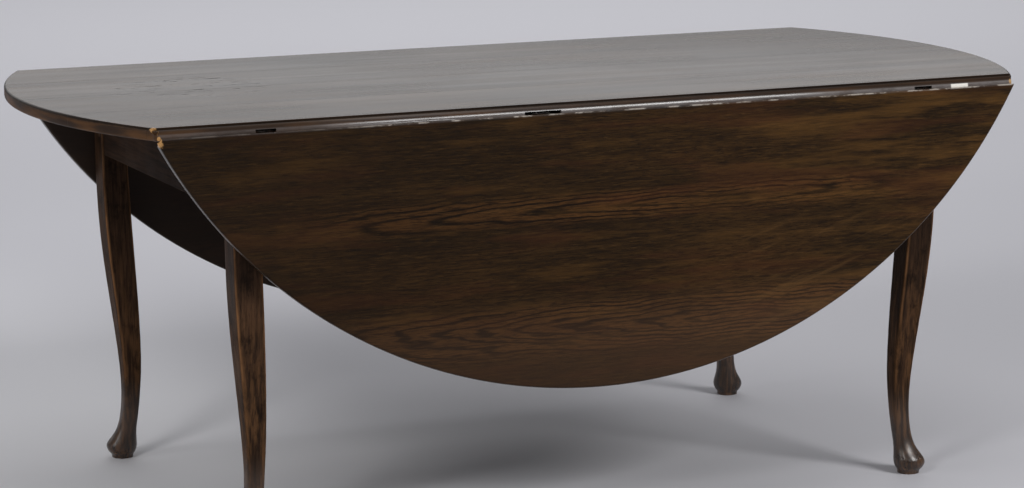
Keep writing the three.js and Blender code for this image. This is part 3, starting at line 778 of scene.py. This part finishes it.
def screw(name):
    """A slotted screw head, face down, with the middle of its face at the origin."""
    bpy.ops.object.select_all(action="DESELECT")
    bpy.ops.mesh.primitive_cylinder_add(
        vertices=24, radius=SCREW_R, depth=SCREW_HEAD, location=(0, 0, SCREW_HEAD / 2)
    )
    bpy.ops.object.transform_apply(location=True)
    head = added(name)
    open_mesh(head)
    pick_edges(head, lambda edge: all(v.co.z < 1e-6 for v in edge.verts))
    bpy.ops.mesh.bevel(offset=0.0004, segments=2, profile=0.5)
    close_mesh()
    cut(head, block("slot", (-0.0045, -0.0004, -0.001), (0.0045, 0.0004, 0.0006)))
    return head


def screws_in(name, pattern, model, under_leaf):
    """All the screws of one leaf's hinges, in the middle board or in the leaf, made for the back."""
    heads = []
    for i, hinge_x in enumerate(HINGE_X):
        for j, (across, out) in enumerate(pattern):
            head = copy_of(model, f"{name}_{i}_{j}")
            open_whole(head)
            # each slot was left at its own angle
            turn = math.radians(37 * (i + 1) + 71 * j)
            bpy.ops.transform.rotate(value=turn, orient_axis="Z", center_override=(0, 0, 0))
            move = (hinge_x + across, JOINT_Y + out, UNDERSIDE - SCREW_PROUD)
            bpy.ops.transform.translate(value=move)
            if under_leaf:
                pivot = (0, JOINT_Y, PIN_Z)
                bpy.ops.transform.rotate(value=math.radians(90), orient_axis="X", center_override=pivot)
            close_mesh()
            heads.append(head)
    bpy.ops.object.select_all(action="DESELECT")
    for head in heads:
        head.select_set(True)
    bpy.context.view_layer.objects.active = heads[0]
    bpy.ops.object.join()
    joined = added(name)
    settle(joined, 30)
    return joined


first_screw = screw("screw")
for where, pattern, under_leaf in (("top", TOP_PATTERN, False), ("leaf", LEAF_PATTERN, True)):
    back = screws_in(f"back_{where}_screws", pattern, first_screw, under_leaf)
    front = copy_of(back, f"front_{where}_screws")
    turn_half_round(front)
    for side, heads in (("back", back), ("front", front)):
        clothe(heads, PIN_IRON)
        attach(heads, f"{side}_leaf" if under_leaf else "table_frame")
bpy.data.objects.remove(first_screw, do_unlink=True)


# ---------------------------------------------------------------- the legs

# Each row is height, distance of the section's centre in from both outer faces, half its width, and
# how round it is: 0 is square and 1 is a circle
LEG_SECTIONS = (
    (0.559, 0.0245, 0.0245, 0.05),
    (0.462, 0.0277, 0.0250, 0.10),
    (0.371, 0.0330, 0.0240, 0.14),
    (0.281, 0.0396, 0.0214, 0.20),
    (0.190, 0.0450, 0.0180, 0.30),
    (0.128, 0.0449, 0.0154, 0.40),
    (0.082, 0.0415, 0.0153, 0.50),
    (0.050, 0.0362, 0.0192, 0.80),
    (0.027, 0.0298, 0.0284, 0.99),
    (0.014, 0.0295, 0.0265, 0.99),
    (0.006, 0.0303, 0.0205, 0.99),
    (0.000, 0.0305, 0.0200, 0.99),
)
LEG_STEPS = 27
# The subdivided corners of a rounder section draw in more, so it is made this share wider
ROUND_SWELL = 0.075
PAD_CREASE = 0.42
END_FACE = 0.672
SIDE_FACE = 0.392
POST = 0.049
LEG_INNER_X = END_FACE - POST
RAIL_BOTTOM = 0.580
GATE_TOP = 0.714
# A swing leg is rebated to close round the corner of the frame
SIDE_REBATE_Y = 0.3683
END_REBATE_X = END_FACE - 0.0255
END_REBATE_Y = 0.3803


def leg_level(t):
    """The leg's section a share t of the way from the knee to the floor, on a curve through the rows."""
    at = t * (len(LEG_SECTIONS) - 1)
    i = min(int(at), len(LEG_SECTIONS) - 2)
    rows = [LEG_SECTIONS[min(max(j, 0), len(LEG_SECTIONS) - 1)] for j in (i - 1, i, i + 1, i + 2)]
    s = at - i
    return [
        0.5 * (2 * b + (c - a) * s + (2 * a - 5 * b + 4 * c - d) * s * s + (3 * b - a - 3 * c + d) * s**3)
        for a, b, c, d in zip(*rows)
    ]


def leg(name, top):
    """A leg for the corner at +X, +Y: a square post drawn down through rounder sections to a pad foot."""
    knee = LEG_SECTIONS[0][0]
    piece = block(name, (END_FACE - POST, SIDE_FACE - POST, knee), (END_FACE, SIDE_FACE, top))
    open_mesh(piece)
    pick_faces(piece, lambda face: face.normal.z < -0.9)
    levels = [leg_level(i / LEG_STEPS) for i in range(LEG_STEPS + 1)]
    width = POST / 2
    for (z0, inset0, _, _), (z, inset, half, roundness) in zip(levels, levels[1:]):
        shift = inset0 - inset
        bpy.ops.mesh.extrude_region_move(TRANSFORM_OT_translate={"value": (shift, shift, z - z0)})
        wanted = half * (1 + ROUND_SWELL * roundness)
        growth = wanted / width
        middle = (END_FACE - inset, SIDE_FACE - inset, z)
        bpy.ops.transform.resize(value=(growth, growth, 1), center_override=middle)
        width = wanted
    # the four arrises are crisp at the top and fade away at the ankle
    heights = [top] + [row[0] for row in levels]
    softness = [LEG_SECTIONS[0][3]] + [row[3] for row in levels[1:]]
    for high, low, roundness in zip(heights, heights[1:], softness):
        middle = (high + low) / 2
        inside = lambda edge: abs((edge.verts[0].co.z + edge.verts[1].co.z) / 2 - middle) < 1e-5
        pick_edges(piece, lambda edge: inside(edge) and rise(edge) > 1e-5)
        bpy.ops.transform.edge_crease(value=math.sqrt(max(0.0, -math.log2(roundness + 0.01)) / 10))
    pick_edges(piece, lambda edge: all(v.co.z > top - 1e-5 for v in edge.verts))
    bpy.ops.transform.edge_crease(value=1)
    pick_edges(piece, lambda edge: all(v.co.z < 1e-5 for v in edge.verts))
    bpy.ops.transform.edge_crease(value=PAD_CREASE)
    close_mesh()
    smooth = piece.modifiers.new("rounding", "SUBSURF")
    smooth.levels = smooth.render_levels = 4
    only(piece)
    bpy.ops.object.modifier_apply(modifier=smooth.name)
    return piece


fixed_leg = leg("back_left_cabriole_leg", UNDERSIDE)
open_whole(fixed_leg)
bpy.ops.transform.resize(value=(-1, 1, 1), center_override=(0, 0, 0))
close_mesh()
settle(fixed_leg, 30)
swing_leg = leg("back_right_cabriole_leg", GATE_TOP)
shoulder = (LEG_INNER_X - 0.001, SIDE_FACE - POST - 0.001, RAIL_BOTTOM - 0.0003)
cut(swing_leg, block("side_rebate", shoulder, (END_FACE + 0.001, SIDE_REBATE_Y, HEIGHT)))
end_rebate = (END_REBATE_X, shoulder[1], shoulder[2])
cut(swing_leg, block("end_rebate", end_rebate, (END_FACE + 0.001, END_REBATE_Y, HEIGHT)))
settle(swing_leg, 30)
near_fixed_leg = copy_of(fixed_leg, "front_right_cabriole_leg")
turn_half_round(near_fixed_leg)
near_swing_leg = copy_of(swing_leg, "front_left_cabriole_leg")
turn_half_round(near_swing_leg)
for piece, node, body in (
    (fixed_leg, "back_left_leg", "table_frame"),
    (near_fixed_leg, "front_right_leg", "table_frame"),
    (swing_leg, "back_right_swing_leg", "back_gate"),
    (near_swing_leg, "front_left_swing_leg", "front_gate"),
):
    clothe(piece, LEG_OAK)
    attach(piece, body)
    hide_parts(node)


# ---------------------------------------------------------------- the frame keeps its own solids

for name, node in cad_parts.items():
    if name.endswith(("side_rail", "fixed_rail", "fly_rail")):
        clothe(node, SIDE_OAK)
    elif name.endswith("end_rail"):
        clothe(node, END_OAK)
    elif "peg" in name:
        clothe(node, PEG_OAK)
    elif "glue_block" in name:
        clothe(node, BLOCK_PINE)
    elif name.endswith("plate"):
        clothe(node, HINGE_IRON)
    elif name.endswith("pin"):
        clothe(node, PIN_IRON)


# ---------------------------------------------------------------- studio


FLOOR_SIZE = 60


def studio_floor():
    """A wide sheet of pale paper with light and shade painted on it: painted shadow darkens it near the table
    and to its right, and painted light makes it paler at the left and further back.
    """
    bpy.ops.object.select_all(action="DESELECT")
    bpy.ops.mesh.primitive_plane_add(size=1, location=(0, 0, 0))
    floor = added("studio_floor")
    open_whole(floor)
    bpy.ops.transform.resize(value=(FLOOR_SIZE, FLOOR_SIZE, 1), center_override=(0, 0, 0))
    bpy.ops.mesh.subdivide(number_cuts=3)
    close_mesh()
    paper = Finish("studio_paper")
    # painted light: the paper grows paler further back, in soft patches
    painted_far_light = paper.math("MULTIPLY_ADD", paper.noise((0.5, 0.5, 0.5), detail=2.0), 0.6, paper.y)
    # painted shadow near the table and to its right, and painted light at the left
    painted_light_and_shade = paper.mix(paper.band(paper.x, -0.55, 0.05), colour(238, 237, 240), colour(188, 187, 191))
    painted_light_and_shade = paper.mix(paper.band(paper.x, 0.25, 0.75), painted_light_and_shade, colour(203, 202, 207))
    skin = paper.mix(paper.band(painted_far_light, 0.4, 3.4), painted_light_and_shade, colour(238, 237, 243))
    clothe(floor, paper.polish(skin, 0.7, paper.bump(paper.noise((60, 60, 60)), 0.0002, 0.1), specular=0.15))
    floor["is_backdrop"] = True


def softbox(name, at, towards, size, power):
    """A soft light of a given size and power, aimed at a place and out of the camera's sight."""
    light = bpy.data.lights.new(name, "AREA")
    light.shape = "RECTANGLE"
    light.size, light.size_y = size
    light.energy = power
    box = bpy.data.objects.new(name, light)
    box.location = at
    box.rotation_euler = (Vector(towards) - Vector(at)).to_track_quat("-Z", "Y").to_euler()
    box.visible_camera = False
    bpy.context.scene.collection.objects.link(box)


studio_floor()
softbox("overhead", (0.3, 0.2, 3.9), (0.1, 0.2, 0), (3.0, 2.0), 22)
softbox("left_front", (-3.6, -2.7, 3.1), (0, 0, 0.3), (1.1, 1.1), 58)
softbox("left_low", (-3.6, -0.25, 1.1), (-0.4, -0.2, 0.3), (1.4, 1.0), 17)
softbox("right_front", (2.3, -4.2, 3.4), (0.2, 0, 0.3), (1.9, 1.4), 176)
softbox("far_floor", (3.4, 6.6, 5.0), (3.4, 6.6, 0), (9.0, 4.0), 130)
softbox("backdrop", (1.0, 12.0, 4.6), (1.0, 2.0, 0.6), (18, 6.5), 190)

world = bpy.data.worlds.new("studio_air")
bpy.context.scene.world = world
world.use_nodes = True
air = world.node_tree.nodes["Background"]
air.inputs["Color"].default_value = (0.86, 0.88, 0.94, 1)
air.inputs["Strength"].default_value = 0.17


# ---------------------------------------------------------------- camera

EYE = Vector((-2.443, -5.554, 1.509))
YAW, PITCH, ROLL = 0.415, 0.178, -0.004
LENS = 117.5
SENSOR = 36
ahead = Vector((math.sin(YAW) * math.cos(PITCH), math.cos(YAW) * math.cos(PITCH), -math.sin(PITCH)))
level = Vector((math.cos(YAW), -math.sin(YAW), 0))
upright = level.cross(ahead)
right = level * math.cos(ROLL) + upright * math.sin(ROLL)
up = upright * math.cos(ROLL) - level * math.sin(ROLL)
lens = bpy.data.cameras.new("camera")
lens.sensor_fit = "HORIZONTAL"
lens.sensor_width = SENSOR
lens.lens = LENS
lens.clip_end = 100
camera = bpy.data.objects.new("camera", lens)
camera.matrix_world = Matrix.Translation(EYE) @ Matrix((right, up, -ahead)).transposed().to_4x4()
bpy.context.scene.collection.objects.link(camera)
bpy.context.scene.camera = camera
bpy.context.scene.view_settings.view_transform = "Standard"

plain = lambda box: [[float(c) for c in corner] for corner in box]
{"cad": plain(cad_box), "visual": plain(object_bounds())}
